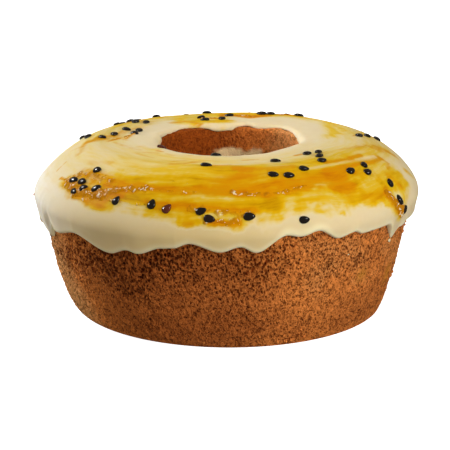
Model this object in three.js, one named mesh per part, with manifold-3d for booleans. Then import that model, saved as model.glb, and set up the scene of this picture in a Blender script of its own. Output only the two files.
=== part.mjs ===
// A ring-shaped sponge cake, iced over its crown and sprinkled with dark fruit seeds.
//
// Millimetres, +Z up. The origin is the centre of the flat base, on the surface that the cake
// stands on, and the ring's axis is +Z. Azimuths are in degrees round that axis: 0 is the front,
// at -Y, and 90 is the right, at +X. A reach is a distance along the crown of the sponge, from
// the rim of the hole outwards, over the shoulder and down the side; in the hole it is negative.

import * as THREE from "three";
import { mergeVertices } from "three/addons/utils/BufferGeometryUtils.js";
import Module from "manifold-3d";

const { degToRad, lerp, smoothstep } = THREE.MathUtils;

// ---- Driving dimensions, in millimetres

const BASE_RADIUS = 79.5; // flat base that the cake stands on
const FOOT_BULGE = 2.6; // how far the rounded foot pushes out at the base
const SIDE_LOW = { radius: 88.8, height: 24.4 }; // lower end of the straight, flaring side
const SIDE_TOP = { radius: 96.2, height: 59.2 }; // upper end of the side, at the shoulder
const CREST = { radius: 66, height: 83.5 }; // highest ring of the crown
const RIM = { radius: 38.5, height: 82.8 }; // mouth of the hole
const HOLE_BASE_RADIUS = 40.5;

const FOOT_PULL = 3; // how far each part of the section keeps to its tangent
const SHOULDER_PULL = 8.2;
const CREST_PULL_OUT = 10.4;
const CREST_PULL_IN = 13;
const RIM_PULL = 1.9;

const ICING_THICKNESS = 2.9; // on the shoulder and the side
const RIM_ICING_THICKNESS = 1.9; // at the mouth of the hole
const ICING_GAP = 0.3; // clearance between the sponge and the icing on it
const OUTER_LIP = 3.2; // length over which the icing's lower edge rounds off
const INNER_LIP = 2;

const SEED_LENGTH = 5.7;
const SEED_WIDTH = 4.2;
const SEED_THICKNESS = 2.8;
const SEED_SINK = 0.35; // how much of its thickness a seed lies in the icing

const AZIMUTH_STEPS = 90;
const FULL_TURN = 360;

// The unevenness of a home-baked ring, from left to right.
const FOOT_LEAN = 1.1; // the base reaches further on the right
const FOOT_BULGE_LEAN = -2.2; // and its foot is sharper there
const SIDE_SWAY = 0.65; // the side leans to the left
const CROWN_LEAN = 0.7; // the crown is higher on the right
const HOLE_SHIFT = 1.2; // the hole is off the axis, to the right

// Crests and troughs of the icing's lower edge: azimuth, height above the base.
const OUTER_HEM = [
  [-168, 50], [-155, 46], [-144, 53], [-131, 48], [-118, 54], [-106, 49], [-93, 51.5],
  [-80.5, 45.5], [-74, 50.6], [-67.5, 43.8], [-63.5, 51], [-60, 49.2], [-49, 52.8], [-36, 46.7],
  [-29.5, 49.9], [-26.5, 48.8], [-18.5, 53], [-15.5, 53.5], [-10.5, 56.3], [-2, 52.2],
  [3.5, 54.9], [8, 51.7], [16.5, 59.5], [20.5, 58.4], [26, 60], [33, 54.8], [38.5, 56.5],
  [42, 54.5], [53.5, 55], [60.3, 45.4], [67, 51.4], [75, 50.6], [86, 46.8], [97, 51], [107, 55],
  [118, 47], [130, 52.5], [142, 45], [155, 54], [168, 49.5], [180, 56],
];

// Crests and troughs of the icing's edge at the mouth of the hole: azimuth, reach.
const INNER_HEM = [
  [-171, -1.1], [-147, 4.4], [-126, 1.1], [-114, 0.7], [-96, -2.4], [-60, -2.8], [-25, -3],
  [15, -2.2], [45, -3.2], [75, -3], [98, -2.4], [112, 0], [139, 4.6], [157.5, 0.6],
  [168, 4.4], [179, -0.7],
];

// Seeds on the side that shows: azimuth, reach, turn of the seed's long axis from the ring's.
const SHOWN_SEEDS = [
  [-57.5, 51.5, 20], [-53, 50.5, 5], [-50, 53.5, 30], [-53, 56.5, -15], [-44.5, 52, 40],
  [-51.5, 42, 15], [-34.5, 56, 75], [-22.5, 55.5, 90], [-17.5, 57, 60], [-7.5, 57.5, 25],
  [-5, 61, -10], [6, 60, 5], [21.5, 63, 0], [-9, 26.5, 0], [-10, 1.5, 10], [-62, 1.2, 50],
  [-133, 22, 30], [-131.5, 32, 0], [-130, 27, 15], [-112.5, 19.5, 70], [-113, 13, 20],
  [-105, 12.5, 60], [-100.5, 22, 10], [-92.5, 26.5, 45], [-99, 35, 0], [-106, 41, 25],
  [-124.5, 33.5, 60], [-146, 31.5, 10], [-170.5, 30, 0], [-165, 18.5, 30], [-165, 11.5, -20],
  [-176, 12, 80], [179, 21, 10], [23, 21, -20], [16.5, 37, -15], [22, 38.5, -10],
  [29.5, 35, -15], [44.5, 17.5, 0], [51, 19.5, 30], [45, 25.5, 10], [41, 31, 0], [47, 42.5, 10],
  [56, 41.5, 40], [54, 46, 0], [59.5, 55.5, 60], [59, 64, 80], [61, 68, 35], [163, 26.5, 0],
  [158.5, 27.5, 15], [145.5, 31, 0], [92, 29.5, 20], [95.5, 34, 0], [98, 40, 10],
];

// The hidden side is sprinkled by rule, as thinly as the shown one.
const HIDDEN_SEEDS = 20;
const HIDDEN_AZIMUTHS = [118, 232];
const HIDDEN_REACHES = [36, 66];

// The sponge's crumb: a relief that is the sum of shallow waves.
const CRUMB_WAVES = 16;
const CRUMB_DEPTH = 0.4;
const CRUMB_TURNS = [7, 38]; // waves round the ring
const CRUMB_LENGTHS = [12, 34]; // wave length up the side

// ---- Random draws, the same at every run

function randomFrom(seed) {
  let state = seed;
  return () => {
    state = (state * 1664525 + 1013904223) % 4294967296;
    return state / 4294967296;
  };
}

// ---- Curves of the section: x is the radius and y the height

const sectionPoint = ({ radius, height }) => new THREE.Vector2(radius, height);

const UP_THE_SIDE = sectionPoint(SIDE_TOP).sub(sectionPoint(SIDE_LOW)).normalize();

// The curve from the rim of the hole, over the crest and the shoulder, and down the side.
function crownCurve() {
  const rim = sectionPoint(RIM);
  const crest = sectionPoint(CREST);
  const shoulder = sectionPoint(SIDE_TOP);
  const aboveRim = rim.clone().add(new THREE.Vector2(0, RIM_PULL));
  const insideCrest = crest.clone().sub(new THREE.Vector2(CREST_PULL_IN, 0));
  const outsideCrest = crest.clone().add(new THREE.Vector2(CREST_PULL_OUT, 0));
  const aboveShoulder = shoulder.clone().addScaledVector(UP_THE_SIDE, SHOULDER_PULL);
  const curve = new THREE.CurvePath();
  curve.add(new THREE.CubicBezierCurve(rim, aboveRim, insideCrest, crest));
  curve.add(new THREE.CubicBezierCurve(crest, outsideCrest, aboveShoulder, shoulder));
  curve.add(new THREE.LineCurve(shoulder, sectionPoint(SIDE_LOW)));
  return curve;
}

const CROWN = crownCurve();
const CROWN_LENGTH = CROWN.getLength();
const HOLE_FLARE = (HOLE_BASE_RADIUS - RIM.radius) / RIM.height;

const holeRadius = (height) => RIM.radius + HOLE_FLARE * (RIM.height - height);

// The point of the even section at a reach, raised off the sponge by a height.
function crownPoint(reach, raised) {
  if (reach < 0) {
    const height = RIM.height + reach;
    return new THREE.Vector2(holeRadius(height) - raised, height);
  }
  const along = reach / CROWN_LENGTH;
  const tangent = CROWN.getTangent(along);
  return CROWN.getPoint(along).add(new THREE.Vector2(-tangent.y, tangent.x).multiplyScalar(raised));
}

// The reach at which the sponge's side has a height.
function reachAtHeight(height) {
  let [high, low] = [CROWN_LENGTH / 2, CROWN_LENGTH];
  for (let halvings = 0; halvings < 24; halvings++) {
    const middle = (high + low) / 2;
    if (CROWN.getPoint(middle / CROWN_LENGTH).y > height) high = middle;
    else low = middle;
  }
  return high;
}

// A hem's value at an azimuth, eased between its crests and troughs.
function hemAt(hem, azimuth) {
  const turned = (angle) => ((angle % FULL_TURN) + FULL_TURN) % FULL_TURN;
  const ahead = hem.map(([angle, value]) => [turned(angle - azimuth), value]);
  ahead.sort((a, b) => a[0] - b[0]);
  const [after, before] = [ahead[0], ahead[ahead.length - 1]];
  const passed = FULL_TURN - before[0];
  return lerp(before[1], after[1], smoothstep(passed / (passed + after[0]), 0, 1));
}

// ---- The uneven ring

const lean = (azimuth) => Math.sin(degToRad(azimuth));

// The place in space of a point of the even section.
function ringPoint(azimuth, { x: radius, y: height }) {
  const side = smoothstep(height, 0, 30) * (1 - smoothstep(height, 55, 75));
  const crown = (radius / SIDE_TOP.radius) * smoothstep(height, 20, CREST.height);
  const swayed = radius - SIDE_SWAY * side * lean(azimuth);
  const angle = degToRad(azimuth);
  return new THREE.Vector3(
    swayed * Math.sin(angle) + HOLE_SHIFT * (1 - smoothstep(radius, 39, 61)),
    -swayed * Math.cos(angle),
    height + CROWN_LEAN * crown * lean(azimuth),
  );
}

// Reaches from the icing's lower edge to its edge at the hole. Both the icing and the sponge
// under it have points there, so that they lie a clearance apart all over.
function coveredReaches(azimuth) {
  const outer = reachAtHeight(hemAt(OUTER_HEM, azimuth));
  const inner = hemAt(INNER_HEM, azimuth);
  const belowLip = outer - OUTER_LIP;
  const shoulder = [74, 68.5, 64, 60].map((reach, k) => Math.min(reach, belowLip - 0.7 * (k + 1)));
  const middle = [55, 49, 41, 30, 15];
  const insideLip = inner + INNER_LIP;
  const rim = Math.max(0.9, insideLip + 1.4);
  return [outer, outer - OUTER_LIP / 2, ...shoulder, ...middle, rim, insideLip, inner];
}

// ---- The sponge

function crumbRelief() {
  const random = randomFrom(7);
  const waves = Array.from({ length: CRUMB_WAVES }, () => ({
    turns: Math.round(lerp(...CRUMB_TURNS, random())),
    rise: ((random() < 0.5 ? -2 : 2) * Math.PI) / lerp(...CRUMB_LENGTHS, random()),
    phase: 2 * Math.PI * random(),
  }));
  const share = Math.sqrt(2 / CRUMB_WAVES);
  return (azimuth, height) => {
    const angle = degToRad(azimuth);
    const heights = waves.map((wave) => Math.sin(wave.turns * angle + wave.rise * height + wave.phase));
    return share * heights.reduce((sum, each) => sum + each, 0);
  };
}

const crumb = crumbRelief();

// The rounded foot, from the base up to the lower end of the straight side.
function footCurve(azimuth) {
  const contact = new THREE.Vector2(BASE_RADIUS + FOOT_LEAN * lean(azimuth), 0);
  const bulge = FOOT_BULGE + FOOT_BULGE_LEAN * lean(azimuth);
  const low = sectionPoint(SIDE_LOW);
  return new THREE.CubicBezierCurve(
    contact,
    contact.clone().add(new THREE.Vector2(bulge, 0)),
    low.clone().addScaledVector(UP_THE_SIDE, -FOOT_PULL),
    low,
  );
}

// The closed outline of the sponge at an azimuth, anticlockwise from the hole at the base.
function spongeSection(azimuth) {
  const covered = coveredReaches(azimuth);
  const roughen = (point, outwards) => {
    const relief = CRUMB_DEPTH * smoothstep(point.y, 0, 6) * crumb(azimuth, point.y);
    return point.setX(point.x + outwards * relief);
  };
  const foot = footCurve(azimuth);
  const bareTop = crownPoint(covered[0] + 1.5, 0);
  const bareSide = [0, 0.33, 0.67].map((share) => sectionPoint(SIDE_LOW).lerp(bareTop, share));
  const hole = [64, 42, 20, 1.5].map((height) => new THREE.Vector2(holeRadius(height), height));
  return [
    new THREE.Vector2(HOLE_BASE_RADIUS + 1.5, 0),
    foot.getPoint(0),
    ...[0.2, 0.45, 0.72].map((share) => roughen(foot.getPoint(share), 1)),
    ...bareSide.map((point) => roughen(point, 1)),
    bareTop,
    ...covered.map((reach) => crownPoint(reach, 0)),
    crownPoint(Math.min(covered[covered.length - 1], 0) - 1.5, 0),
    ...hole.map((point) => roughen(point, -1)),
  ];
}

// ---- The icing

// The icing's thickness: full inside, and rounded off towards each of its edges.
function icingThickness(reach, outer, inner) {
  const full = lerp(RIM_ICING_THICKNESS, ICING_THICKNESS, smoothstep(reach, 4, 40));
  const inwards = Math.min(1, (outer - reach) / OUTER_LIP, (reach - inner) / INNER_LIP);
  return full * Math.sqrt(Math.max(0, 1 - (1 - inwards) ** 2));
}

// The closed outline of the icing at an azimuth, anticlockwise from its lower edge: its top as
// far as the hole, and back along its underside.
function icingSection(azimuth) {
  const covered = coveredReaches(azimuth);
  const [outer, inner] = [covered[0], covered[covered.length - 1]];
  const top = [...covered, outer - 0.1 * OUTER_LIP, outer - OUTER_LIP, inner + 0.2 * INNER_LIP];
  top.sort((a, b) => b - a);
  const under = covered.slice(1, -1).reverse();
  const raised = (reach) => ICING_GAP + icingThickness(reach, outer, inner);
  return [
    ...top.map((reach) => crownPoint(reach, raised(reach))),
    ...under.map((reach) => crownPoint(reach, ICING_GAP)),
  ];
}

// ---- Sweeping and joining

// A closed ring whose outline changes with the azimuth. Each of its quads is split along the
// shorter diagonal, so that two surfaces that follow each other are split alike.
function ringGeometry(sectionAt) {
  const rings = Array.from({ length: AZIMUTH_STEPS }, (_, step) => {
    const azimuth = (step * FULL_TURN) / AZIMUTH_STEPS;
    return sectionAt(azimuth).map((point) => ringPoint(azimuth, point));
  });
  const points = rings.flat();
  const count = rings[0].length;
  const vertex = (step, place) => (step % AZIMUTH_STEPS) * count + (place % count);
  const faces = [];
  for (let step = 0; step < AZIMUTH_STEPS; step++) {
    for (let place = 0; place < count; place++) {
      const [a, b] = [vertex(step, place), vertex(step + 1, place)];
      const [c, d] = [vertex(step + 1, place + 1), vertex(step, place + 1)];
      if (points[a].distanceTo(points[c]) < points[b].distanceTo(points[d])) {
        faces.push(a, b, c, a, c, d);
      } else {
        faces.push(a, b, d, b, c, d);
      }
    }
  }
  return new THREE.BufferGeometry().setFromPoints(points).setIndex(faces);
}

// A seed: a flattened drop, narrower at one end, with its long axis along X.
function seedGeometry() {
  const geometry = new THREE.SphereGeometry(1, 6, 3).rotateZ(-Math.PI / 2);
  const position = geometry.getAttribute("position");
  for (let i = 0; i < position.count; i++) {
    const along = position.getX(i);
    const width = SEED_WIDTH * (1 - 0.22 * along);
    position.setXYZ(
      i,
      (along * SEED_LENGTH) / 2,
      (position.getY(i) * width) / 2,
      (position.getZ(i) * SEED_THICKNESS) / 2,
    );
  }
  return geometry;
}

// The place of a seed that lies on the icing: its long axis starts out along the ring.
function seedMatrix([azimuth, reach, turn]) {
  const onIcing = (place) => {
    const raised = ICING_GAP + icingThickness(place, Infinity, -Infinity);
    return ringPoint(azimuth, crownPoint(place, raised));
  };
  const round = new THREE.Vector3(Math.cos(degToRad(azimuth)), Math.sin(degToRad(azimuth)), 0);
  const inwards = onIcing(reach - 0.5).sub(onIcing(reach + 0.5));
  const up = new THREE.Vector3().crossVectors(round, inwards).normalize();
  inwards.crossVectors(up, round);
  const lift = (0.5 - SEED_SINK) * SEED_THICKNESS;
  return new THREE.Matrix4()
    .makeBasis(round, inwards, up)
    .setPosition(onIcing(reach).addScaledVector(up, lift))
    .multiply(new THREE.Matrix4().makeRotationZ(degToRad(turn)));
}

function hiddenSeeds() {
  const random = randomFrom(23);
  return Array.from({ length: HIDDEN_SEEDS }, (_, index) => [
    lerp(...HIDDEN_AZIMUTHS, (index + random()) / HIDDEN_SEEDS),
    lerp(...HIDDEN_REACHES, random()),
    FULL_TURN * random(),
  ]);
}

const wasm = await Module();
wasm.setup();

function solidOf(geometry) {
  const bare = mergeVertices(geometry.clone().deleteAttribute("normal").deleteAttribute("uv"));
  const vertProperties = new Float32Array(bare.getAttribute("position").array);
  const triVerts = new Uint32Array(bare.getIndex().array);
  return new wasm.Manifold(new wasm.Mesh({ numProp: 3, vertProperties, triVerts }));
}

function geometryOf(solid) {
  const { vertProperties, triVerts } = solid.getMesh();
  const geometry = new THREE.BufferGeometry()
    .setAttribute("position", new THREE.BufferAttribute(vertProperties, 3))
    .setIndex(new THREE.BufferAttribute(triVerts, 1));
  geometry.computeVertexNormals();
  return geometry;
}

function icingWithSeeds() {
  const seed = seedGeometry();
  let joined = solidOf(ringGeometry(icingSection));
  for (const place of [...SHOWN_SEEDS, ...hiddenSeeds()]) {
    joined = joined.add(solidOf(seed.clone().applyMatrix4(seedMatrix(place))));
  }
  return geometryOf(joined);
}

// ---- The cake

const SPONGE = new THREE.MeshStandardMaterial({ color: 0x9a5a2b, roughness: 0.95, metalness: 0 });
const ICING = new THREE.MeshStandardMaterial({ color: 0xe6d3a0, roughness: 0.35, metalness: 0 });

function named(name, geometry, material) {
  const mesh = new THREE.Mesh(geometry, material);
  mesh.name = name;
  return mesh;
}

const cake = new THREE.Group();
cake.add(named("sponge", ringGeometry(spongeSection), SPONGE));
cake.add(named("icing", icingWithSeeds(), ICING));

export default cake;
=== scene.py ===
"""A ring-shaped chiffon cake: browned sponge, cream icing, brushed fruit syrup and dark seeds.

Lengths are worked out in millimetres, as in the part's source, and turned into metres where a
mesh is made. Azimuths are in degrees round the ring's axis: 0 is the front, at -Y, and 90 is the
right, at +X. A reach is a distance along the crown of the sponge, from the rim of the hole
outwards, over the shoulder and down the side; in the hole it is negative.
"""

import itertools
import math

import bpy
import mathutils
import numpy as np
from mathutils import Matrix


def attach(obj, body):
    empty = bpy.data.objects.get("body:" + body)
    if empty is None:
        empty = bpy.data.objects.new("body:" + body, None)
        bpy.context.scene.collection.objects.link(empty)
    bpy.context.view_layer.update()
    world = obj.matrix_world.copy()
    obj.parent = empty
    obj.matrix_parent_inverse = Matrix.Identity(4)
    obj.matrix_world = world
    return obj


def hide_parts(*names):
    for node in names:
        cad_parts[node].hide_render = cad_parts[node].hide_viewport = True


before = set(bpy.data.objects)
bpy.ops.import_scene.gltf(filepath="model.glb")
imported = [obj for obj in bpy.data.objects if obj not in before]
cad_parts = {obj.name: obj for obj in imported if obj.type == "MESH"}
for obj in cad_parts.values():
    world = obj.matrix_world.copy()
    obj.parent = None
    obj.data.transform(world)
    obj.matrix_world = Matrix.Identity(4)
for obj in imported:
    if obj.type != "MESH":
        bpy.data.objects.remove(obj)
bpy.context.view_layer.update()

MM = 0.001
BODY = "root"

# ---- The ring's section, in millimetres, as in the part's source; places are radius and height

BASE_RADIUS = 79.5
FOOT_BULGE = 2.6
SIDE_LOW = (88.8, 24.4)
SIDE_TOP = (96.2, 59.2)
CREST = (66.0, 83.5)
RIM = (38.5, 82.8)
HOLE_BASE_RADIUS = 40.5
FOOT_PULL = 3.0
SHOULDER_PULL = 8.2
CREST_PULL_OUT = 10.4
CREST_PULL_IN = 13.0
RIM_PULL = 1.9

ICING_THICKNESS = 2.9
RIM_ICING_THICKNESS = 1.9
ICING_GAP = 0.3
INNER_LIP = 2.0
OUTER_LIP = 1.7  # length over which the icing's lower edge rounds off

SEED_LENGTH = 5.4
SEED_WIDTH = 3.9
SEED_THICKNESS = 2.4
SEED_SINK = 0.5  # the share of its thickness that a seed lies in the icing

FOOT_LEAN = 1.1
FOOT_BULGE_LEAN = -2.2
SIDE_SWAY = 0.65
SWAY_STARTS = (0, 30)  # heights between which the side's sway sets in
SWAY_ENDS = (55, 75)
CROWN_LEAN = 0.7
LEAN_STARTS = 20
HOLE_SHIFT = 1.2
SHIFT_ENDS = (39, 61)  # radii between which the hole's shift fades out

CRUMB_WAVES = 16
CRUMB_DEPTH = 0.4
CRUMB_TURNS = (7, 38)
CRUMB_LENGTHS = (12, 34)

# Crests and troughs of the icing's lower edge: azimuth, height above the base.
OUTER_HEM = [
    (-168, 50), (-155, 46), (-144, 53), (-131, 48), (-118, 54), (-106, 49), (-93, 51.5),
    (-80.5, 45.5), (-74, 50.6), (-67.5, 43.8), (-63.5, 51), (-60, 49.2), (-49, 52.8),
    (-36, 46.7), (-29.5, 49.9), (-26.5, 48.8), (-18.5, 53), (-15.5, 53.5), (-10.5, 56.3),
    (-2, 52.2), (3.5, 54.9), (8, 51.7), (16.5, 59.5), (20.5, 58.4), (26, 60), (33, 54.8),
    (38.5, 56.5), (42, 54.5), (53.5, 55), (60.3, 45.4), (67, 51.4), (75, 50.6), (86, 46.8),
    (97, 51), (107, 55), (118, 47), (130, 52.5), (142, 45), (155, 54), (168, 49.5), (180, 56),
]

# The drip: azimuth, half width in degrees, how far it hangs, and the height and half width of
# the hem that it hangs from.
DRIP = (60.3, 3.2, 4.2, 49.6, 7)

# Crests and troughs of the icing's edge at the mouth of the hole: azimuth, reach.
INNER_HEM = [
    (-171, -1.1), (-147, 4.4), (-126, 1.1), (-114, 0.7), (-96, -2.4), (-60, -2.8), (-25, -3),
    (15, -2.2), (45, -3.2), (75, -3), (98, -2.4), (112, 0), (139, 4.6), (157.5, 0.6),
    (168, 4.4), (179, -0.7),
]

# Seeds on the side that shows: azimuth, reach, turn of the seed's long axis from the ring's.
SHOWN_SEEDS = [
    (-57.5, 51.5, 20), (-53, 50.5, 5), (-50, 53.5, 30), (-53, 56.5, -15), (-44.5, 52, 40),
    (-51.5, 42, 15), (-34.5, 56, 75), (-22.5, 55.5, 90), (-17.5, 57, 60), (-7.5, 57.5, 25),
    (-5, 61, -10), (6, 60, 5), (21.5, 63, 0), (-9, 26.5, 0), (-10, 1.5, 10), (-62, 1.2, 50),
    (-133, 22, 30), (-131.5, 32, 0), (-130, 27, 15), (-112.5, 19.5, 70), (-113, 13, 20),
    (-105, 12.5, 60), (-100.5, 22, 10), (-92.5, 26.5, 45), (-99, 35, 0), (-106, 41, 25),
    (-124.5, 33.5, 60), (-146, 31.5, 10), (-170.5, 30, 0), (-165, 18.5, 30), (-165, 11.5, -20),
    (-176, 12, 80), (179, 21, 10), (23, 21, -20), (16.5, 37, -15), (22, 38.5, -10),
    (29.5, 35, -15), (44.5, 17.5, 0), (51, 19.5, 30), (45, 25.5, 10), (41, 31, 0),
    (47, 42.5, 10), (56, 41.5, 40), (54, 46, 0), (59.5, 55.5, 60), (59, 64, 80), (61, 68, 35),
    (163, 26.5, 0), (158.5, 27.5, 15), (145.5, 31, 0), (92, 29.5, 20), (95.5, 34, 0),
    (98, 40, 10),
]
UNRIPE_SEEDS = {(-17.5, 57, 60): 1.0, (-62, 1.2, 50): 0.75, (-5, 61, -10): 0.08}  # how amber
HIDDEN_SEEDS = 20
HIDDEN_AZIMUTHS = (118, 232)
HIDDEN_REACHES = (36, 66)

# ---- Where the syrup lies: half width in mm, strength, azimuth and reach of each point

YELLOW_STROKES = [
    (32, 0.19, -100, 24, -60, 29, -30, 28),
    (32, 0.18, -24, 28, 0, 26, 40, 26, 92, 26),
    (11, 0.22, -12, 30, 10, 31, 30, 31, 66, 31),
    (10, 0.46, -8, 34, 2, 36, 16, 38, 38, 40, 52, 42),
    (7, 0.5, -40, 46, -18, 45, 4, 44, 30, 44, 44, 46),
    (7, 0.8, -40, 51.5, -20, 53, 0, 54.5, 14, 55),
    (6, 0.52, 12, 53, 26, 54, 40, 56, 54, 57.5),
    (10, 0.38, 40, 44, 54, 46, 66, 50),
    (4.8, 0.48, 42, 57, 54, 58.5, 64, 57),
    (3.4, 0.4, 64, 57, 70, 56, 69, 60, 63, 62),
    (9, 0.2, 68, 38, 84, 40),
    (5, 0.42, -61, 53, -50, 55, -40, 56),
    (2.4, 0.25, -42, 60.5, -35, 60.5),
    (1.7, 0.5, -13, 63, -8, 62.6),
    (2.2, 0.2, 9, 60, 15, 61),
    (0.9, 0.3, 33.5, 62.3, 34.5, 62.5),
    (3.6, 0.5, -6, 61, 4, 62),
    (3, 0.26, 20, 58, 26, 58.5),
    (4.5, 0.6, 53, 61, 56, 66, 59, 69),
    (2.6, 0.3, 78, 56, 81, 60),
    (6.5, 0.62, -151, 11, -162, 9, -177, 9),
    (7.5, 0.38, -154, 20, -165, 22, -180, 24, -200, 26, -212, 30),
    (6, 0.35, 92, 10, 104, 18, 124, 28),
    (16, 0.4, 140, 36, 170, 40, 200, 38, 232, 34),
    (12, 0.3, 100, 36, 118, 40, 138, 44),
    (13, 0.1, -150, 34, -120, 30, -92, 28),
    (2.4, 0.6, -56, 5, -60, 2),
    (7, 0.5, 150, 52, 178, 56, 205, 53),
    (6, 0.3, -128, 50, -108, 54),
]
AMBER_STROKES = [
    (2.8, 0.42, -36, 47.5, -18, 47.2, 0, 46.6, 12, 47.6),
    (7, 0.28, -4, 42, 12, 43, 26, 43, 44, 43),
    (2.6, 0.42, 1, 46.8, 8, 48.4, 16, 48.2, 23, 45),
    (3.6, 0.32, 18, 43.5, 30, 45.5, 42, 46.5),
    (4, 0.32, 36, 47, 42, 50.5, 39, 53),
    (5, 0.42, -60, 52.5, -53, 55.5, -46, 55.5, -40, 55),
    (3.6, 0.32, -58, 46.5, -48, 45.5, -40, 46),
    (2.8, 0.5, -43, 54, -38, 51.5, -31, 48.5, -27, 47),
    (1.8, 0.45, -52, 57.5, -46, 57.3, -40, 55.5, -34, 54),
    (3, 0.34, -24, 54.5, -8, 55, 2, 57, 8, 57.5),
    (1.8, 0.7, -5, 61.6, -0.5, 62.6, 3, 62.2),
    (1, 0.3, -12, 63.4, -9.5, 63.2),
    (3, 0.75, 54.5, 61, 56, 64, 58.5, 67.5),
    (3, 0.2, 44, 58, 56, 58.6),
    (1, 0.6, -66, 53.5, -61, 52.6),
    (1.2, 0.5, -54, 46, -52.5, 43.5),
    (2, 0.6, -92, 15, -105, 13),
    (1.6, 0.42, -84, 23, -97, 14.5),
    (2.6, 0.26, -88, 33, -74, 38),
    (3.4, 0.3, -96, 26, -86, 30),
    (1.4, 0.16, -66, 14, -69, 8),
    (1.5, 0.2, -54, 16.5, -46, 11),
    (1.4, 0.42, -51, 7.5, -47, 7),
    (1.5, 0.2, -41, 8.5, -35, 9.5),
    (1.8, 0.26, -26, 20, -22, 17),
    (1.4, 0.2, -30, 5.2, -25, 6),
    (1.8, 0.2, -19, 23.5, -13, 17.5),
    (1.8, 0.35, -8, 25.8, 1, 24),
    (1.4, 0.24, 8, 14, 16, 13.5),
    (1.6, 0.22, 9, 21, 15, 20),
    (2, 0.32, 3, 30, 11, 32, 26, 31.5),
    (1.4, 0.5, 5.5, 33, 8.5, 33.6),
    (2.2, 0.25, -3, 37.5, 8, 36.5, 15, 35.5),
    (1.6, 0.3, 38, 15.5, 44, 16),
    (1.7, 0.5, 41, 33, 48, 34.5, 54, 36),
    (1.5, 0.55, 55, 35, 62, 36),
    (2.4, 0.4, 38, 38, 47, 40, 58, 39.5, 70, 42.5),
    (1.6, 0.36, 70, 42.5, 71, 47, 66, 49),
    (4, 0.22, 48, 44, 57, 48),
    (2.8, 0.22, 62, 52, 64, 59),
    (1.4, 0.2, 79, 56, 80.5, 60),
    (4, 0.3, -120, 16, -98, 21, -90, 25),
    (4, 0.36, -134, 24, -128, 31),
    (3, 0.75, 182, 22, 174, 21, 166, 19, 160, 23),
    (2.2, 0.7, 153, 29.5, 149, 31),
    (2.6, 0.3, -144, 14, -153, 12, -158, 4),
    (2.6, 0.5, -166, 18, -176, 14),
    (3, 0.36, 150, 37, 175, 43, 205, 40),
    (3, 0.4, 155, 52, 180, 57, 200, 54),
    (2, 0.36, 92, 27, 98, 33),
    (1.8, 0.26, 60.5, 26, 73, 32),
    (2, 0.22, 76, 33, 79, 41),
    (2.4, 0.28, 81.5, 37.5, 85, 48.5),
    (1, 0.3, -73.5, 52, -74.5, 46.5),
    (1.4, 0.15, -84, 42, -81, 35.5),
    (3, 0.16, -60, 39, -50, 36),
    (1.9, 0.24, -98, 23, -86, 13),
    (1.5, 0.17, -81.5, 21, -70, 14),
    (1.5, 0.16, -74, 18, -57.5, 13.5),
    (1.5, 0.14, -52, 18.5, -39, 19.5),
    (2.4, 0.3, -24.5, 26, -17, 20.5),
]
# Strokes wiped thin again: pale streaks between the others.
PALE_STROKES = [
    (1.6, 0.24, -12, 50.4, -2, 50.4, 10, 52.4),
    (1.5, 0.6, 31, 35.3, 44, 35.6, 59, 37.6, 68, 40.3),
    (2.6, 0.5, 47, 54, 53, 55),
    (2, 0.35, 24, 51.5, 33, 51.5),
    (3, 0.8, -70, 4, -30, 1.4, 0, 0.8, 30, 1.4, 55, 3),
    (8, 0.92, -132, 7, -105, 8, -80, 5),
    (9, 0.92, 80, 3, 98, 5, 125, 12, 150, 16),
    (4, 0.8, 152, 12, 160, 14),
]
# Where the syrup lies so thick that it stands proud of the icing.
WET_STROKES = [
    (4, 0.9, -61, 53, -53, 56, -47, 56, -41, 54.5),
    (3, 0.62, -59, 47.5, -50, 45.5, -41, 46),
    (3, 0.75, -43, 53.5, -36, 50.2, -27, 47.4),
    (1.5, 0.42, -27, 47.4, -12, 47.4, 2, 47),
    (1.9, 0.62, 2, 47.6, 10, 49, 18, 48.4, 25, 46.2),
    (1.8, 0.45, -40, 56, -30, 56, -22, 55.6),
    (2.6, 0.6, -11, 56.6, 0, 57.6, 7, 59.4),
    (1.9, 0.7, -6, 61.6, 3, 62.4),
    (1.5, 0.4, -20, 41, -12, 42),
    (3.4, 1.0, 54.5, 60.8, 56.5, 64.5, 60, 68.6),
    (2.2, 0.6, -94, 15, -105, 13),
    (2.4, 0.6, -166, 17, -176, 14),
    (2.6, 0.7, 176, 21.5, 166, 19.5),
    (2, 0.7, 153, 29.5, 149, 31),
]

# Parts of the bare side painted darker, at the front as painted shade among the coarse crumb and
# elsewhere as a darker bake: azimuth and height, each with its half width, and the strength.
DARKER_PARTS = [
    ((-22, 56), (40, 46), 0.95), ((-12, 48), (8, 26), 0.95), ((46, 44), (8, 24), 0.3),
    ((150, 60), (34, 40), 0.7), ((-150, 50), (20, 30), 0.5),
]
PAINTED_LIGHT_SIDE = (-66, 42)  # azimuth and half width of the side painted paler, a painted light
PAINTED_LIGHT_STRENGTH = 0.3


# ---- Numbers and noise

def smooth(value, low=0.0, high=1.0):
    """0 below low, 1 above high, eased between."""
    share = np.clip((np.asarray(value, float) - low) / (high - low), 0, 1)
    return share * share * (3 - 2 * share)


def bump(value, middle, half_width):
    """A rounded hump, 1 at the middle and 0 from half_width on."""
    return 1 - smooth(np.abs(np.asarray(value, float) - middle), 0, half_width)


def turned_from(middle, azimuth):
    """Degrees from a middle to azimuths, the short way round."""
    return (azimuth - middle + 180) % 360 - 180


def facing(azimuth, middle, half_width):
    """1 on the side at a middle azimuth, and 0 from half_width degrees away from it."""
    return bump(turned_from(middle, azimuth), 0, half_width)


def random_from(seed):
    """The generator of the part's source, so that both draw the same."""
    state = seed

    def draw():
        nonlocal state
        state = (state * 1664525 + 1013904223) % 4294967296
        return state / 4294967296

    return draw


def lerp(low, high, share):
    return low + (high - low) * share


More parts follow.
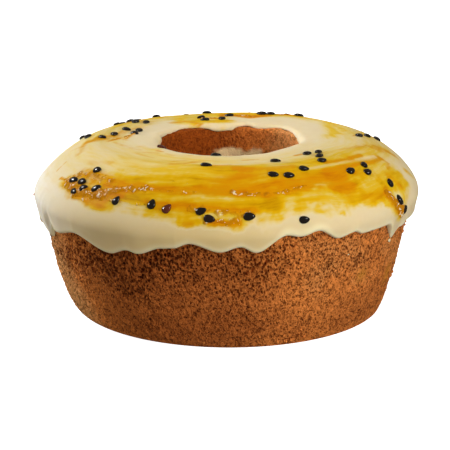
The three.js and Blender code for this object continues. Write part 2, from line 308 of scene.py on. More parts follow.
NOISE_DIRECTIONS = np.array(list(itertools.product((-1, 0, 1), repeat=3)), float)
NOISE_DIRECTIONS = NOISE_DIRECTIONS[np.abs(NOISE_DIRECTIONS).sum(1) == 2]
NOISE_HEIGHT = 1.4  # brings the noise to about -1 to 1


def scramble(cells, seed):
    """A whole number from 0 to 2**32 for each cell (x, y, z)."""
    mixed = cells[..., 0] * 374761393 + cells[..., 1] * 668265263 + cells[..., 2] * 1274126177
    mixed = (mixed + seed * 1103515245) & 0xFFFFFFFF
    mixed = ((mixed ^ (mixed >> 15)) * 739982445) & 0xFFFFFFFF
    mixed = ((mixed ^ (mixed >> 12)) * 695872825) & 0xFFFFFFFF
    return mixed ^ (mixed >> 15)


def noise(points, size, seed):
    """Smooth noise, about -1 to 1, with features of a size."""
    scaled = np.asarray(points, float) / size
    cells = np.floor(scaled).astype(np.int64)
    inside = scaled - cells
    eased = inside**3 * (inside * (inside * 6 - 15) + 10)
    total = 0
    for corner in itertools.product((0, 1), repeat=3):
        weight = np.prod(np.where(corner, eased, 1 - eased), axis=-1)
        direction = NOISE_DIRECTIONS[scramble(cells + corner, seed) % len(NOISE_DIRECTIONS)]
        total = total + weight * (direction * (inside - corner)).sum(-1)
    return NOISE_HEIGHT * total


def layers(points, table):
    """The sum of noises, each given by its height, its size and its seed."""
    return sum(height * noise(points, size, seed) for height, size, seed in table)


def pits(points, spacing, seed):
    """The distance to the nearest of many scattered points, as a share of their spacing."""
    scaled = np.asarray(points, float) / spacing
    cells = np.floor(scaled).astype(np.int64)
    nearest = np.full(scaled.shape[:-1], 9.0)
    for step in itertools.product((-1, 0, 1), repeat=3):
        cell = cells + step
        place = np.stack([scramble(cell, seed + axis) / 2**32 for axis in range(3)], -1)
        nearest = np.minimum(nearest, ((cell + place - scaled) ** 2).sum(-1))
    return np.sqrt(nearest)


# ---- Curves of the section

def bezier(share, a, b, c, d):
    left = 1 - share
    return left**3 * a + 3 * share * left**2 * b + 3 * share**2 * left * c + share**3 * d


def steps_down(steps):
    """Shares from 0 to 1 in a column."""
    return np.linspace(0, 1, steps)[:, None]


def steps_across(steps):
    """Shares from 0 to 1 in a row."""
    return np.linspace(0, 1, steps)[None, :]


def crown_curve():
    """The curve from the rim over the crest and the shoulder and down the side: its points,
    the reach of each, and the direction off the sponge at each."""
    low, top = np.array(SIDE_LOW), np.array(SIDE_TOP)
    up_the_side = (top - low) / np.linalg.norm(top - low)
    rim, crest = np.array(RIM), np.array(CREST)
    rim_pull, crest_pull = rim + (0, RIM_PULL), crest - (CREST_PULL_IN, 0)
    inner = bezier(steps_down(120), rim, rim_pull, crest_pull, crest)
    crest_pull, top_pull = crest + (CREST_PULL_OUT, 0), top + SHOULDER_PULL * up_the_side
    outer = bezier(steps_down(160), crest, crest_pull, top_pull, top)
    points = np.vstack([inner, outer[1:], lerp(top, low, steps_down(80))[1:]])
    reaches = np.r_[0, np.cumsum(np.linalg.norm(np.diff(points, axis=0), axis=1))]
    tangents = np.gradient(points, reaches, axis=0)
    tangents /= np.linalg.norm(tangents, axis=1)[:, None]
    return points, reaches, np.c_[-tangents[:, 1], tangents[:, 0]], up_the_side


CROWN_POINTS, CROWN_REACHES, CROWN_NORMALS, UP_THE_SIDE = crown_curve()
CROWN_LENGTH = CROWN_REACHES[-1]
HOLE_FLARE = (HOLE_BASE_RADIUS - RIM[0]) / RIM[1]


def crown_at(reach, raised):
    """Radius and height of the even section at a reach, raised off the sponge."""
    reach = np.asarray(reach, float)

    def along(values):
        return np.interp(reach, CROWN_REACHES, values)

    radius = along(CROWN_POINTS[:, 0]) + raised * along(CROWN_NORMALS[:, 0])
    height = along(CROWN_POINTS[:, 1]) + raised * along(CROWN_NORMALS[:, 1])
    in_hole = reach < 0
    radius = np.where(in_hole, RIM[0] - HOLE_FLARE * reach - raised, radius)
    height = np.where(in_hole, RIM[1] + reach, height)
    return radius, height


def reach_at_height(height):
    outer = CROWN_REACHES > CROWN_LENGTH / 2
    return np.interp(height, CROWN_POINTS[outer, 1][::-1], CROWN_REACHES[outer][::-1])


def hem_at(hem, azimuth):
    """A hem's value at azimuths, eased between its crests and troughs."""
    angles, values = np.array(sorted((angle % 360, value) for angle, value in hem), float).T
    azimuth = np.asarray(azimuth, float) % 360
    after = np.searchsorted(angles, azimuth, side="right") % len(angles)
    before = (after - 1) % len(angles)
    span = (angles[after] - angles[before]) % 360
    share = ((azimuth - angles[before]) % 360) / span
    return lerp(values[before], values[after], smooth(share))


def lean(azimuth):
    return np.sin(np.radians(azimuth))


def all_round(turns):
    """The azimuths of a ring's points, one to a row."""
    return np.arange(turns)[:, None] * 360 / turns - 180


def ring_point(azimuth, radius, height):
    """The place in space of points of the even section, with the ring's unevenness."""
    side = smooth(height, *SWAY_STARTS) * (1 - smooth(height, *SWAY_ENDS))
    crown = radius / SIDE_TOP[0] * smooth(height, LEAN_STARTS, CREST[1])
    swayed = radius - SIDE_SWAY * side * lean(azimuth)
    angle = np.radians(azimuth)
    x = swayed * np.sin(angle) + HOLE_SHIFT * (1 - smooth(radius, *SHIFT_ENDS))
    y = -swayed * np.cos(angle)
    return np.stack([x, y, height + CROWN_LEAN * crown * lean(azimuth)], -1)


def lower_edge(azimuth):
    """Height of the icing's lower edge, with one narrow drip."""
    height = hem_at(OUTER_HEM, azimuth)
    middle, half_width, length, root, root_half_width = DRIP
    resting = np.maximum(height, np.where(np.abs(azimuth - middle) < root_half_width, root, 0))
    return resting - length * bump(azimuth, middle, half_width) ** 0.8


def hem_reaches(azimuth):
    return reach_at_height(lower_edge(azimuth)), hem_at(INNER_HEM, azimuth)


# ---- The icing's surface

THINNER_HEMS = [(-4, 84, 0.4), (60.3, 6, 0.78), (-66, 8, 0.6)]  # azimuth, half width, share
THIN_LENGTH = 13  # mm above the lower edge over which the icing runs out thinner
WIDER_LIP = (88, 28)  # azimuth and half width of the side with a longer lip
LIP_WIDENING = 1.2
RIM_SWELL = (56, 40)  # azimuth and half width of the swelling at the hole's rim
SWELL_HEIGHT = 0.9
RIDGES = [  # azimuth, highest reach, height in mm, half width in degrees
    (-14.5, 64, 0.1, 0.45), (38.2, 66, 0.14, 0.45), (-30, 68, 0.12, 1.6), (-49, 66, 0.14, 2),
    (-62, 62, 0.18, 2.4), (-71, 60, 0.16, 2), (59.8, 64, 0.25, 1.8), (-67.5, 66, 0.3, 1.6),
    (3.2, 69, 0.12, 1.2), (112, 64, 0.25, 2), (150, 66, 0.25, 2.4), (-138, 66, 0.25, 2),
    (-160, 65, 0.2, 2.4), (88, 66, 0.25, 2.4),
]
SKIRT_REACHES = (56, 72)  # where the icing begins to hang, and where all of it does
SKIRT_RADIUS = 95
SKIRT_STRETCH = 5  # how much longer a run is than it is wide
SKIRT_RUNS = [(0.17, 15, 31), (0.04, 6, 32)]
SKIRT_SAGS = [(0.1, 10, 33)]
ICING_WAVES = [(0.3, 34, 11), (0.1, 15, 12)]
RIM_WAVES = [(0.22, 9, 13)]
LANE_WANDER = [(2.2, 30, 46), (0.5, 11, 47)]
LANE_STRETCH = 6  # how much longer a brush mark is than it is wide


def full_thickness(reach):
    return lerp(RIM_ICING_THICKNESS, ICING_THICKNESS, smooth(reach, 4, 40))


def skirt_relief(azimuth, reach, points):
    """Runs and sags of the icing where it flowed down the side."""
    hanging = smooth(reach, *SKIRT_REACHES)
    angle = np.radians(azimuth + 0 * reach)
    around, along = SKIRT_RADIUS * np.sin(angle), SKIRT_RADIUS * np.cos(angle)
    flow = np.stack([around, along, reach / SKIRT_STRETCH + 0 * angle], -1)
    relief = hanging * layers(flow, SKIRT_RUNS)
    for ridge, top, height, half_width in RIDGES:
        here = facing(azimuth, ridge, half_width) * smooth(reach, top - 4, top + 5)
        relief = relief + height * here
    return relief + hanging * layers(points, SKIRT_SAGS)


def brushed(reach, points):
    """Coordinates in mm that run along the brush strokes: far along them, close across."""
    across = reach + layers(points, LANE_WANDER)
    return np.stack([points[..., 0] / LANE_STRETCH, points[..., 1] / LANE_STRETCH, across], -1)


def icing_raise(azimuth, reach, outer, inner):
    """How far the icing's top lies off the sponge."""
    outer_lip = OUTER_LIP * (1 + LIP_WIDENING * facing(azimuth, *WIDER_LIP))
    inwards = np.clip(np.minimum((outer - reach) / outer_lip, (reach - inner) / INNER_LIP), 0, 1)
    rounded = np.sqrt(1 - (1 - inwards) ** 2)
    even = ring_point(azimuth, *crown_at(reach, ICING_THICKNESS))
    relief = layers(even, ICING_WAVES) + skirt_relief(azimuth, reach, even)
    from_rim = reach - inner
    rim = layers(even, RIM_WAVES) * (1 - smooth(from_rim, 3, 12))
    rim = rim + SWELL_HEIGHT * facing(azimuth, *RIM_SWELL) * bump(from_rim, 4, 7)
    bead = 0.12 * bump(outer - reach, 3, 2.6) + 0.15 * bump(from_rim, 2.6, 2.4)
    thin = 0
    for middle, half_width, share in THINNER_HEMS:
        thin = np.maximum(thin, share * facing(azimuth, middle, half_width))
    full = full_thickness(reach) * (1 - thin * (1 - smooth(outer - reach, 0, THIN_LENGTH)))
    return ICING_GAP + (full + relief + rim + bead) * rounded


def icing_top(azimuth, reach):
    """Points on the icing."""
    raised = icing_raise(azimuth, reach, *hem_reaches(azimuth))
    return ring_point(azimuth, *crown_at(reach, raised))


# ---- Syrup: how much of it lies where

STROKE_FRAYING = 0.6  # how far a stroke's edge wanders, as a share of its half width
WIDEST_FRAYED = 6  # mm of half width from which on it wanders no farther
STROKE_FADE = 1.5  # where a stroke has faded out, in half widths
EDGE_WANDER = [(0.5, 7, 42), (0.3, 2.2, 43)]
STREAKS = [(0.3, 4, 44), (0.2, 1.7, 45)]
WET_EDGE = [(0.6, 4, 71)]


def stroke_at(azimuth, reach, radius, warp, half_width, strength, *places):
    """How strongly one stroke covers each place."""
    nearest = np.full(np.broadcast(azimuth, reach).shape, 1e9)
    points = zip(places[::2], places[1::2])
    for (first, first_reach), (last, last_reach) in itertools.pairwise(points):
        from_first = turned_from(first, azimuth) * np.pi / 180 * radius
        span = (last - first) * np.pi / 180 * radius
        rise = last_reach - first_reach
        length = np.maximum(span**2 + rise**2, 1e-9)
        share = np.clip((from_first * span + (reach - first_reach) * rise) / length, 0, 1)
        apart = np.hypot(from_first - share * span, reach - first_reach - share * rise)
        nearest = np.minimum(nearest, apart)
    frayed = nearest + warp * STROKE_FRAYING * min(half_width, WIDEST_FRAYED)
    return strength * (1 - smooth(frayed, 0, STROKE_FADE * half_width))


def covering(strokes, azimuth, reach, warp):
    """How strongly strokes cover each place together; warp frays their edges."""
    radius = crown_at(reach, ICING_THICKNESS)[0]
    left = 1.0
    for stroke in strokes:
        left = left * (1 - stroke_at(azimuth, reach, radius, warp, *stroke))
    return 1 - left


def syrup_cover(azimuth, reach, points):
    """How yellow and how amber the icing is at each place, 0 to 1."""
    lanes = brushed(reach, points)
    warp = 0.7 * noise(lanes, 4.5, 41) + layers(points, EDGE_WANDER)
    yellow = covering(YELLOW_STROKES, azimuth, reach, warp)
    amber = covering(AMBER_STROKES, azimuth, reach, warp)
    pale = covering(PALE_STROKES, azimuth, reach, warp)
    kept = (1 - pale) * (1 + layers(lanes, STREAKS))
    return np.clip(yellow * kept, 0, 1), np.clip(amber * kept, 0, 1)


def wetness(azimuth, reach, points):
    return covering(WET_STROKES, azimuth, reach, layers(points, WET_EDGE))


# ---- Meshes

def add_object(name, data):
    added = bpy.data.objects.new(name, data)
    bpy.context.scene.collection.objects.link(added)
    return added


def make_piece(name, points, faces, attributes=None):
    """A mesh object from points in mm, with numbers or vectors at its points."""
    mesh = bpy.data.meshes.new(name)
    points = points.reshape(-1, 3) * MM
    mesh.from_pydata(points, [], faces, shade_flat=False)
    for label, values in (attributes or {}).items():
        values = np.asarray(values, np.float32).ravel()
        single = values.size == len(points)
        kind, field = ("FLOAT", "value") if single else ("FLOAT_VECTOR", "vector")
        mesh.attributes.new(label, kind, "POINT").data.foreach_set(field, values)
    mesh.validate()
    return add_object(name, mesh)


def join_shapes(name, shapes, faces, attributes=None):
    """One mesh object of shapes that have the same faces."""
    corners = [faces + index * len(shapes[0]) for index in range(len(shapes))]
    return make_piece(name, np.concatenate(shapes), np.concatenate(corners), attributes)


def finish_piece(piece, slot, material, *replaced):
    piece.data.materials.append(material)
    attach(piece, BODY)
    if replaced:
        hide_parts(*replaced)


def ring_faces(turns, places):
    """Quads of a grid that closes both round the ring and round its section."""
    turn, place = np.meshgrid(np.arange(turns), np.arange(places), indexing="ij")
    next_turn, next_place = (turn + 1) % turns, (place + 1) % places
    corners = [(turn, place), (next_turn, place), (next_turn, next_place), (turn, next_place)]
    return np.stack([t * places + p for t, p in corners], -1).reshape(-1, 4)


def grid_normals(points):
    """Outward directions at the points of a ring's grid."""
    round_ring = np.roll(points, -1, 0) - np.roll(points, 1, 0)
    round_section = np.roll(points, -1, 1) - np.roll(points, 1, 1)
    normals = np.cross(round_ring, round_section)
    return normals / np.maximum(np.linalg.norm(normals, axis=-1, keepdims=True), 1e-9)


# ---- The sponge

SPONGE_TURNS = 960
TORN_PATCH = (175, 23)  # azimuth and half width of the pale patch in the hole
PATCH_TOP = (70, 73.5)  # heights between which the patch ends
PATCH_EDGE = [(3, 9, 61), (1.5, 3, 63)]
PAINTED_LIGHT_WALL = (125, 82)  # azimuth and half width of the hole's wall that is painted paler, a painted light; the rest of the hole is painted darker, a painted shade
COARSE_BAND = (12, 34)  # mm below the hem between which the crumb turns finer
CRUMB_PATCH = 24  # mm, the size of coarser and finer patches
CALMER_SIDE = (62, 58)  # azimuth and half width of the side with a finer crumb
CALMING = 0.42
ROUGHER_SIDE = (-52, 50)  # azimuth and half width of the side with a rougher skin
NUB_SIDE = (86, 34)  # azimuth and half width of the side with rough nubs
NUB_HEIGHT = 0.9
CRUMB_STRETCH = np.array([1, 1, 0.7])  # makes the crumb's lumps and pores taller than wide
CRUMB_SWAY = 1.1 * np.array([1, 0, 1])  # mm by which noise bends them
CRUMB_LUMPS = [(0.36, 5.5, 54), (0.5, 2.6, 55)]
HOLE_LUMPS = [(0.5, 11, 58), (0.4, 4.5, 62)]
PORE_DEPTH = 0.95
CREASE = (37.4, 0.8, 0.7)  # azimuth, half width and depth of the crease below the hem
STAINS = [((47, 4), (31, 6)), ((66, 5), (24, 9))]  # azimuth and height, each with its half width


def crumb_relief(azimuth, height):
    """The sum of shallow waves that the part's source gives the sponge."""
    draw = random_from(7)
    total = 0
    for _ in range(CRUMB_WAVES):
        turns = math.floor(lerp(*CRUMB_TURNS, draw()) + 0.5)
        direction = -2 if draw() < 0.5 else 2
        rise = direction * math.pi / lerp(*CRUMB_LENGTHS, draw())
        phase = 2 * math.pi * draw()
        total = total + np.sin(turns * np.radians(azimuth) + rise * height + phase)
    return math.sqrt(2 / CRUMB_WAVES) * total


def foot_rows(azimuth, steps):
    """The rounded foot, from the base up to the lower end of the straight side."""
    contact = BASE_RADIUS + FOOT_LEAN * lean(azimuth)
    bulge = FOOT_BULGE + FOOT_BULGE_LEAN * lean(azimuth)
    below = np.array(SIDE_LOW) - FOOT_PULL * UP_THE_SIDE
    radius = bezier(steps_across(steps), contact, contact + bulge, below[0], SIDE_LOW[0])
    height = bezier(steps_across(steps), 0, 0, below[1], SIDE_LOW[1])
    return radius, height + 0 * contact


def sponge_rows(azimuth):
    """Radius and height of the sponge's section, from the base outwards and up, and whether
    each place is bare and whether it lies in the hole."""
    outer, inner = hem_reaches(azimuth)

    def crown_rows(first, last, steps, raised=0.0):
        return crown_at(lerp(first, last, steps_across(steps)), raised)

    edge = np.minimum(inner, 0)
    base = lerp(HOLE_BASE_RADIUS + 1.5, BASE_RADIUS - 2 + 0 * azimuth, steps_across(5))
    wall = lerp(RIM[1] + edge - 9.6, 1.5, steps_across(30) ** 1.5)
    parts = [  # radius and height, bare or not, in the hole or not
        ((base, 0 * base), 0.0, 0.0),
        (foot_rows(azimuth, 40), 1.0, 0.0),
        (crown_rows(CROWN_LENGTH - 0.6, outer + 0.1, 52), 1.0, 0.0),
        (crown_rows(outer - 1.6, inner + 1.2, 8, -0.7), 0.0, 0.0),
        (crown_rows(inner - 0.1, edge - 9, 15), 1.0, 1.0),
        ((RIM[0] + HOLE_FLARE * (RIM[1] - wall), wall), 1.0, 1.0),
    ]
    rows = [
        (radius, height, bare + 0 * radius, inside + 0 * radius)
        for (radius, height), bare, inside in parts
    ]
    return [np.concatenate(values, 1) for values in zip(*rows)]


def darker_bake_and_shade(azimuth, height):
    """How much darker than the rest the crust is painted, 0 to 1: painted shade at the front, a darker
    bake elsewhere.
    """
    lighter = 1.0
    for turn, level, strength in DARKER_PARTS:
        lighter = lighter * (1 - strength * facing(azimuth, *turn) * bump(height, *level))
    return 1 - lighter


def crust_coarseness(azimuth, height, points, inside, hem, bake_and_painted_light):
    """How coarse the crumb is: most in a band under the icing, less lower down and right."""
    below = hem - height
    band = 1 - smooth(below + 6 * noise(points, CRUMB_PATCH, 51), *COARSE_BAND)
    patches = 0.6 + 0.5 * noise(points, CRUMB_PATCH, 52)
    side = (0.22 + 0.62 * band) * patches + 0.3 * bake_and_painted_light * band
    side = side * (1 - CALMING * facing(azimuth, *CALMER_SIDE))
    return np.where(inside > 0.5, 0.22 + 0.2 * noise(points, 10, 53), np.clip(side, 0, 1))


def sponge_relief(azimuth, height, points, bare, inside, coarse):
    """The relief of the crust, outwards, in mm, and how deep in a pore each place is."""
    waves = 0.3 * CRUMB_DEPTH * crumb_relief(azimuth, height) * (1 - inside)
    drawn = points * CRUMB_STRETCH + noise(points, 6, 59)[..., None] * CRUMB_SWAY
    pore = 1 - smooth(pits(drawn, 2.4, 56), 0.12, 0.55)
    fine = (0.28 + 0.2 * facing(azimuth, *ROUGHER_SIDE)) * noise(points, 1.6, 57)
    fine = fine * (1 - 0.6 * inside)
    nubs = 1 - smooth(pits(points, 6, 60), 0.05, 0.2)
    nubs = nubs * (0.12 + facing(azimuth, *NUB_SIDE)) * (1 - inside)
    crumbly = inside * layers(points, HOLE_LUMPS)
    crumb = coarse * (layers(drawn, CRUMB_LUMPS) - PORE_DEPTH * pore)
    relief = waves + crumb + fine + NUB_HEIGHT * nubs + crumbly
    middle, half_width, depth = CREASE
    crease = bump(azimuth, middle + 0.04 * (height - 50), half_width) * smooth(height, 44, 50)
    relief = relief - depth * crease * (1 - inside)
    return bare * smooth(height, 0.0, 5) * relief, pore * coarse


def torn_crumb(azimuth, height, points, inside):
    """The pale patch in the hole where the crust stuck to the tin."""
    middle, half_width = TORN_PATCH
    apart = np.abs(turned_from(middle, azimuth)) + 9 * noise(points, 12, 64)
    edge = 1 - smooth(apart, 0.6 * half_width, half_width)
    return inside * edge * (1 - smooth(height + layers(points, PATCH_EDGE), *PATCH_TOP))


def make_sponge(material):
    azimuth = all_round(SPONGE_TURNS)
    radius, height, bare, inside = sponge_rows(azimuth)
    even = ring_point(azimuth, radius, height)
    bake_and_painted_light = darker_bake_and_shade(azimuth, height)
    coarse = crust_coarseness(azimuth, height, even, inside, lower_edge(azimuth), bake_and_painted_light)
    relief, pore = sponge_relief(azimuth, height, even, bare, inside, coarse)
    points = even + grid_normals(even) * relief[..., None]
    points[..., 2] = np.maximum(points[..., 2], 0)
    stain = sum(facing(azimuth, *turn) * bump(height, *level) for turn, level in STAINS)
    # Painted light and shade in the hole: one wall is painted paler and the rest of the hole darker.
    painted_hole_light = inside * facing(azimuth, *PAINTED_LIGHT_WALL)
    # The left side of the crust is painted paler, a painted light.
    painted_side_light = PAINTED_LIGHT_STRENGTH * facing(azimuth, *PAINTED_LIGHT_SIDE)
    # The colour's darkness: the darker parts and the painted paler side outside the hole, painted
    # light and shade in it.
    shade = (bake_and_painted_light - painted_side_light) * (1 - inside) + inside * (0.72 - 0.9 * painted_hole_light)
    attributes = {
        "coarse": coarse,
        "torn": torn_crumb(azimuth, height, even, inside),
        "stain": stain * (1 - inside),
        "pore": pore,
        # how deep in a pore each place is, which sets the painted shade in the pores
        "bake_and_painted_light": shade,
        "inside": inside,
        "painted_hole_shade": inside * (1 - painted_hole_light),
    }
    piece = make_piece("sponge_crumb", points, ring_faces(*radius.shape), attributes)
    finish_piece(piece, "sponge_crust", material, "sponge")


# ---- The icing

ICING_TURNS = 900
ICING_LOWERED = 0.2  # mm, which keeps it within the solid's box
PAINTED_SHADE_FRONT = (-8, 60)  # azimuth and half width of the side where the skirt is painted warmer and darker, a painted warm shade
PAINTED_SHEEN_SIDE = (-84, 42)  # azimuth and half width of the side where it is painted whiter, a painted sheen of the rim light
PAINTED_LIP_LIGHT = 4.5  # mm above the lower edge over which it is painted paler, a painted light from below


def icing_reaches(azimuth):
    """Reaches of the icing's top, from its lower edge to its edge at the hole: closer together
    at the edges."""
    outer, inner = hem_reaches(azimuth)
    outer_lip = np.array([0, 0.04, 0.14, 0.3, 0.55, 0.85, 1.25, 1.7, 2.2, 2.8, 3.5, 4.3])[None, :]
    inner_lip = np.array([2.8, 2.1, 1.5, 1.0, 0.6, 0.3, 0.1, 0])[None, :]
    middle = lerp(outer - 5.1, inner + 3.7, steps_across(84))
    return np.concatenate([outer - outer_lip, middle, inner + inner_lip], 1), outer, inner


def make_icing(material):
    azimuth = all_round(ICING_TURNS)
    reach, outer, inner = icing_reaches(azimuth)
    raised = icing_raise(azimuth, reach, outer, inner) - ICING_LOWERED
    top = ring_point(azimuth, *crown_at(reach, raised))
    under_reach = lerp(inner + 0.8, outer - 0.8, steps_across(7))
    under = ring_point(azimuth, *crown_at(under_reach, -0.25))
    points = np.concatenate([top, under], 1)
    yellow, amber = syrup_cover(azimuth, reach, top)

    def with_underside(values, hidden=0.0):
        return np.concatenate([values, np.full(under_reach.shape + values.shape[2:], hidden)], 1)

    attributes = {
        # Painted warm shade low on the front skirt.
        "warm": with_underside(smooth(reach, 56, 68) * facing(azimuth, *PAINTED_SHADE_FRONT)),
        # Painted sheen of the rim light on the left side.
        "painted_rim_sheen": with_underside(smooth(reach, 46, 60) * facing(azimuth, *PAINTED_SHEEN_SIDE)),
        "yellow": with_underside(yellow),
        "amber": with_underside(amber),
        # Painted light along the lower edge, for light from below.
        "lip": with_underside(1 - smooth(outer - reach, 0, PAINTED_LIP_LIGHT), 1.0),
        "lanes": with_underside(brushed(reach, top)),
    }
    piece = make_piece("cream_icing", points, ring_faces(*points.shape[:2]), attributes)
    finish_piece(piece, "cream_icing", material, "icing")


# ---- The syrup that stands proud of the icing

FILM_STEP = 0.42  # mm between the film's points
FILM_REACHES = (1.0, 71.0)
FILM_RADIUS = 78  # mm, where the points round the ring lie a step apart
FILM_DEPTH = 0.5  # how far its underside lies in the icing
FILM_LOWERED = 0.1  # mm, as the icing lies lower too
FILM_START = 0.42  # wetness from which on it rises
FILM_RISE = 1.1
FILM_BEADS = [(0.3, 2.6, 72), (0.26, 1.4, 73)]
FILM_LIMITS = (-0.4, 0.8)  # its lowest and highest height above the icing
FILM_SHORE = -0.2  # height above the icing from which on the film is drawn
POOL_HEIGHT = 0.35  # how far the syrup is drawn up at a seed
POOL_WIDTH = 2.9
POOL_TURN = 12  # degrees round a seed within which its pool is looked for


def film_height(azimuth, points, wet, seeds):
    """How far the wet syrup stands above the icing: below 0 where there is none."""
    height = FILM_RISE * (wet - FILM_START) + layers(points, FILM_BEADS) * smooth(wet, 0.15, 0.5)
    apart = np.full(wet.shape, 99.0)
    for seed in seeds:
        near = np.abs(turned_from(seed["azimuth"], azimuth)) < POOL_TURN
        distance = np.sqrt(((points - seed["foot"]) ** 2).sum(-1))
        apart = np.minimum(apart, np.where(near, distance, 99))
    pool = POOL_HEIGHT * smooth(wet, 0.2, 0.5) * np.exp(-((apart / POOL_WIDTH) ** 2))
    return np.clip(height + pool - 0.12, *FILM_LIMITS)


def film_faces(wet):
    """Top, underside and hidden walls of the cells that are wet."""
    turns, places = wet.shape[0], wet.shape[1] + 1
    count = turns * places
    turn, place = np.nonzero(wet)
    after = (turn + 1) % turns
    a, b = turn * places + place, after * places + place
    c, d = b + 1, a + 1
    faces = [np.stack([a, b, c, d], -1), np.stack([a, d, c, b], -1) + count]
    padded = np.pad(wet, ((0, 0), (1, 1)))
    sides = [
        (~np.roll(wet, 1, 0), d, a), (~np.roll(wet, -1, 0), b, c),
        (~padded[:, :-2], a, b), (~padded[:, 2:], c, d),
    ]
    for dry_beside, start, end in sides:
        edge = dry_beside[turn, place]
        start, end = start[edge], end[edge]
        faces.append(np.stack([end, start, start + count, end + count], -1))
    return np.concatenate(faces)


def make_film(material, seeds):
    azimuth = all_round(int(2 * np.pi * FILM_RADIUS / FILM_STEP))
    places = int((FILM_REACHES[1] - FILM_REACHES[0]) / FILM_STEP)
    reach = np.linspace(*FILM_REACHES, places)[None, :] + 0 * azimuth
    raised = icing_raise(azimuth, reach, *hem_reaches(azimuth))
    at_rest = ring_point(azimuth, *crown_at(reach, raised))
    wet = wetness(azimuth, reach, at_rest)
    height = film_height(azimuth, at_rest, wet, seeds)
    top = ring_point(azimuth, *crown_at(reach, raised - FILM_LOWERED + height))
    under = ring_point(azimuth, *crown_at(reach, raised - FILM_DEPTH - FILM_LOWERED))
    shown = height > FILM_SHORE
    cells = shown[:, :-1] & shown[:, 1:]
    used, faces = np.unique(film_faces(cells & np.roll(cells, -1, 0)), return_inverse=True)
    points = np.concatenate([top.reshape(-1, 3), under.reshape(-1, 3)])[used]
    yellow, amber = syrup_cover(azimuth, reach, at_rest)
    attributes = {
        "yellow": yellow,
        "amber": amber,
        "lanes": brushed(reach, at_rest),
        "deep": height,
        "wet": wet,
    }
    for label, values in attributes.items():
        rows = values.reshape(height.size, -1)
        attributes[label] = np.concatenate([rows, rows])[used]
    piece = make_piece("syrup_film", points, faces.reshape(-1, 4), attributes)
    finish_piece(piece, "fruit_syrup", material)


# ---- Seeds

SEED_MESH = (20, 13)  # points round a ring, and rings
SEED_FLATNESS = 0.86
SEED_TILT = 0.22
SEED_SIZES = (0.93, 0.14)  # the smallest, and how much larger the largest is
SEED_TAPERS = (0.18, 0.18)  # in the same way
SEED_ROUGHNESS = 0.03


def seed_axes(azimuth, reach, turn, tilt):
    """A seed's long axis, the one across it and the one off the icing."""
    outwards = icing_top(azimuth, reach + 0.5) - icing_top(azimuth, reach - 0.5)
    around = math.radians(azimuth)
    round_ring = np.array([math.cos(around), math.sin(around), 0])
    up = np.cross(round_ring, -outwards)
    up = up / np.linalg.norm(up)
    angle = math.radians(turn)
    long_axis = math.cos(angle) * round_ring + math.sin(angle) * np.cross(up, round_ring)
    long_axis = long_axis + tilt * up
    long_axis = long_axis / np.linalg.norm(long_axis)
    cross_axis = np.cross(up, long_axis)
    return np.array([long_axis, cross_axis, np.cross(long_axis, cross_axis)])


def all_seeds():
    """Every seed: its place on the icing, its axes and how amber it is."""
    draw = random_from(23)
    hidden = []
    for index in range(HIDDEN_SEEDS):
        azimuth = lerp(*HIDDEN_AZIMUTHS, (index + draw()) / HIDDEN_SEEDS)
        hidden.append((azimuth, lerp(*HIDDEN_REACHES, draw()), 360 * draw()))
    shapes = random_from(5)
    seeds = []
    for azimuth, reach, turn in SHOWN_SEEDS + hidden:
        tilt = SEED_TILT * (shapes() - 0.5)
        seeds.append({
            "azimuth": azimuth,
            "foot": icing_top(azimuth, reach),
            "axes": seed_axes(azimuth, reach, turn, tilt),
            "size": SEED_SIZES[0] + SEED_SIZES[1] * shapes(),
            "taper": SEED_TAPERS[0] + SEED_TAPERS[1] * shapes(),
            "amber": UNRIPE_SEEDS.get((azimuth, reach, turn), 0.0),
        })
    return seeds


def ball(turns, rings):
    """Points of a ball's rings, and its two tips on the x axis."""
    polar = np.linspace(0, np.pi, rings + 2)[1:-1, None]
    around = np.arange(turns)[None, :] * 2 * np.pi / turns
    girth = np.sin(polar)
    points = np.stack([np.cos(polar) + 0 * around, girth * np.cos(around), girth * np.sin(around)], -1)
    return np.concatenate([points.reshape(-1, 3), [[1, 0, 0], [-1, 0, 0]]])


def seed_shape(taper):
    """A flattened drop with its long axis along x."""
    x, y, z = ball(*SEED_MESH).T
    y = y * (1 - taper * x)
    z = z * (1 - 0.6 * taper * x)
    z = np.sign(z) * np.abs(z) ** SEED_FLATNESS
    return np.stack([x * SEED_LENGTH, y * SEED_WIDTH, z * SEED_THICKNESS], -1) / 2


def ball_faces(turns, rings):
    """Triangles of such a ball."""
    faces = []
    first_tip, last_tip = turns * rings, turns * rings + 1
    for turn in range(turns):
        after = (turn + 1) % turns
        faces.append((first_tip, turn, after))
        last = (rings - 1) * turns
        faces.append((last_tip, last + after, last + turn))
        for ring in range(rings - 1):
            a, b = ring * turns + turn, ring * turns + after
            c, d = b + turns, a + turns
            faces += [(a, d, c), (a, c, b)]
    return np.array(faces)


def make_seeds(material, seeds):
    shapes = []
    for index, seed in enumerate(seeds):
        shape = seed_shape(seed["taper"]) * seed["size"]
        shape = shape * (1 + SEED_ROUGHNESS * noise(shape + 40 * index, 2.2, 81))[:, None]
        lift = (0.5 - SEED_SINK) * SEED_THICKNESS * seed["size"]
        shapes.append(shape @ seed["axes"] + seed["foot"] + lift * seed["axes"][2])
    amber = np.repeat([seed["amber"] for seed in seeds], len(shapes[0]))
    piece = join_shapes("fruit_seeds", shapes, ball_faces(*SEED_MESH), {"amber": amber})
    finish_piece(piece, "fruit_seeds", material, "icing")


# ---- Crumbs and stray spots of icing

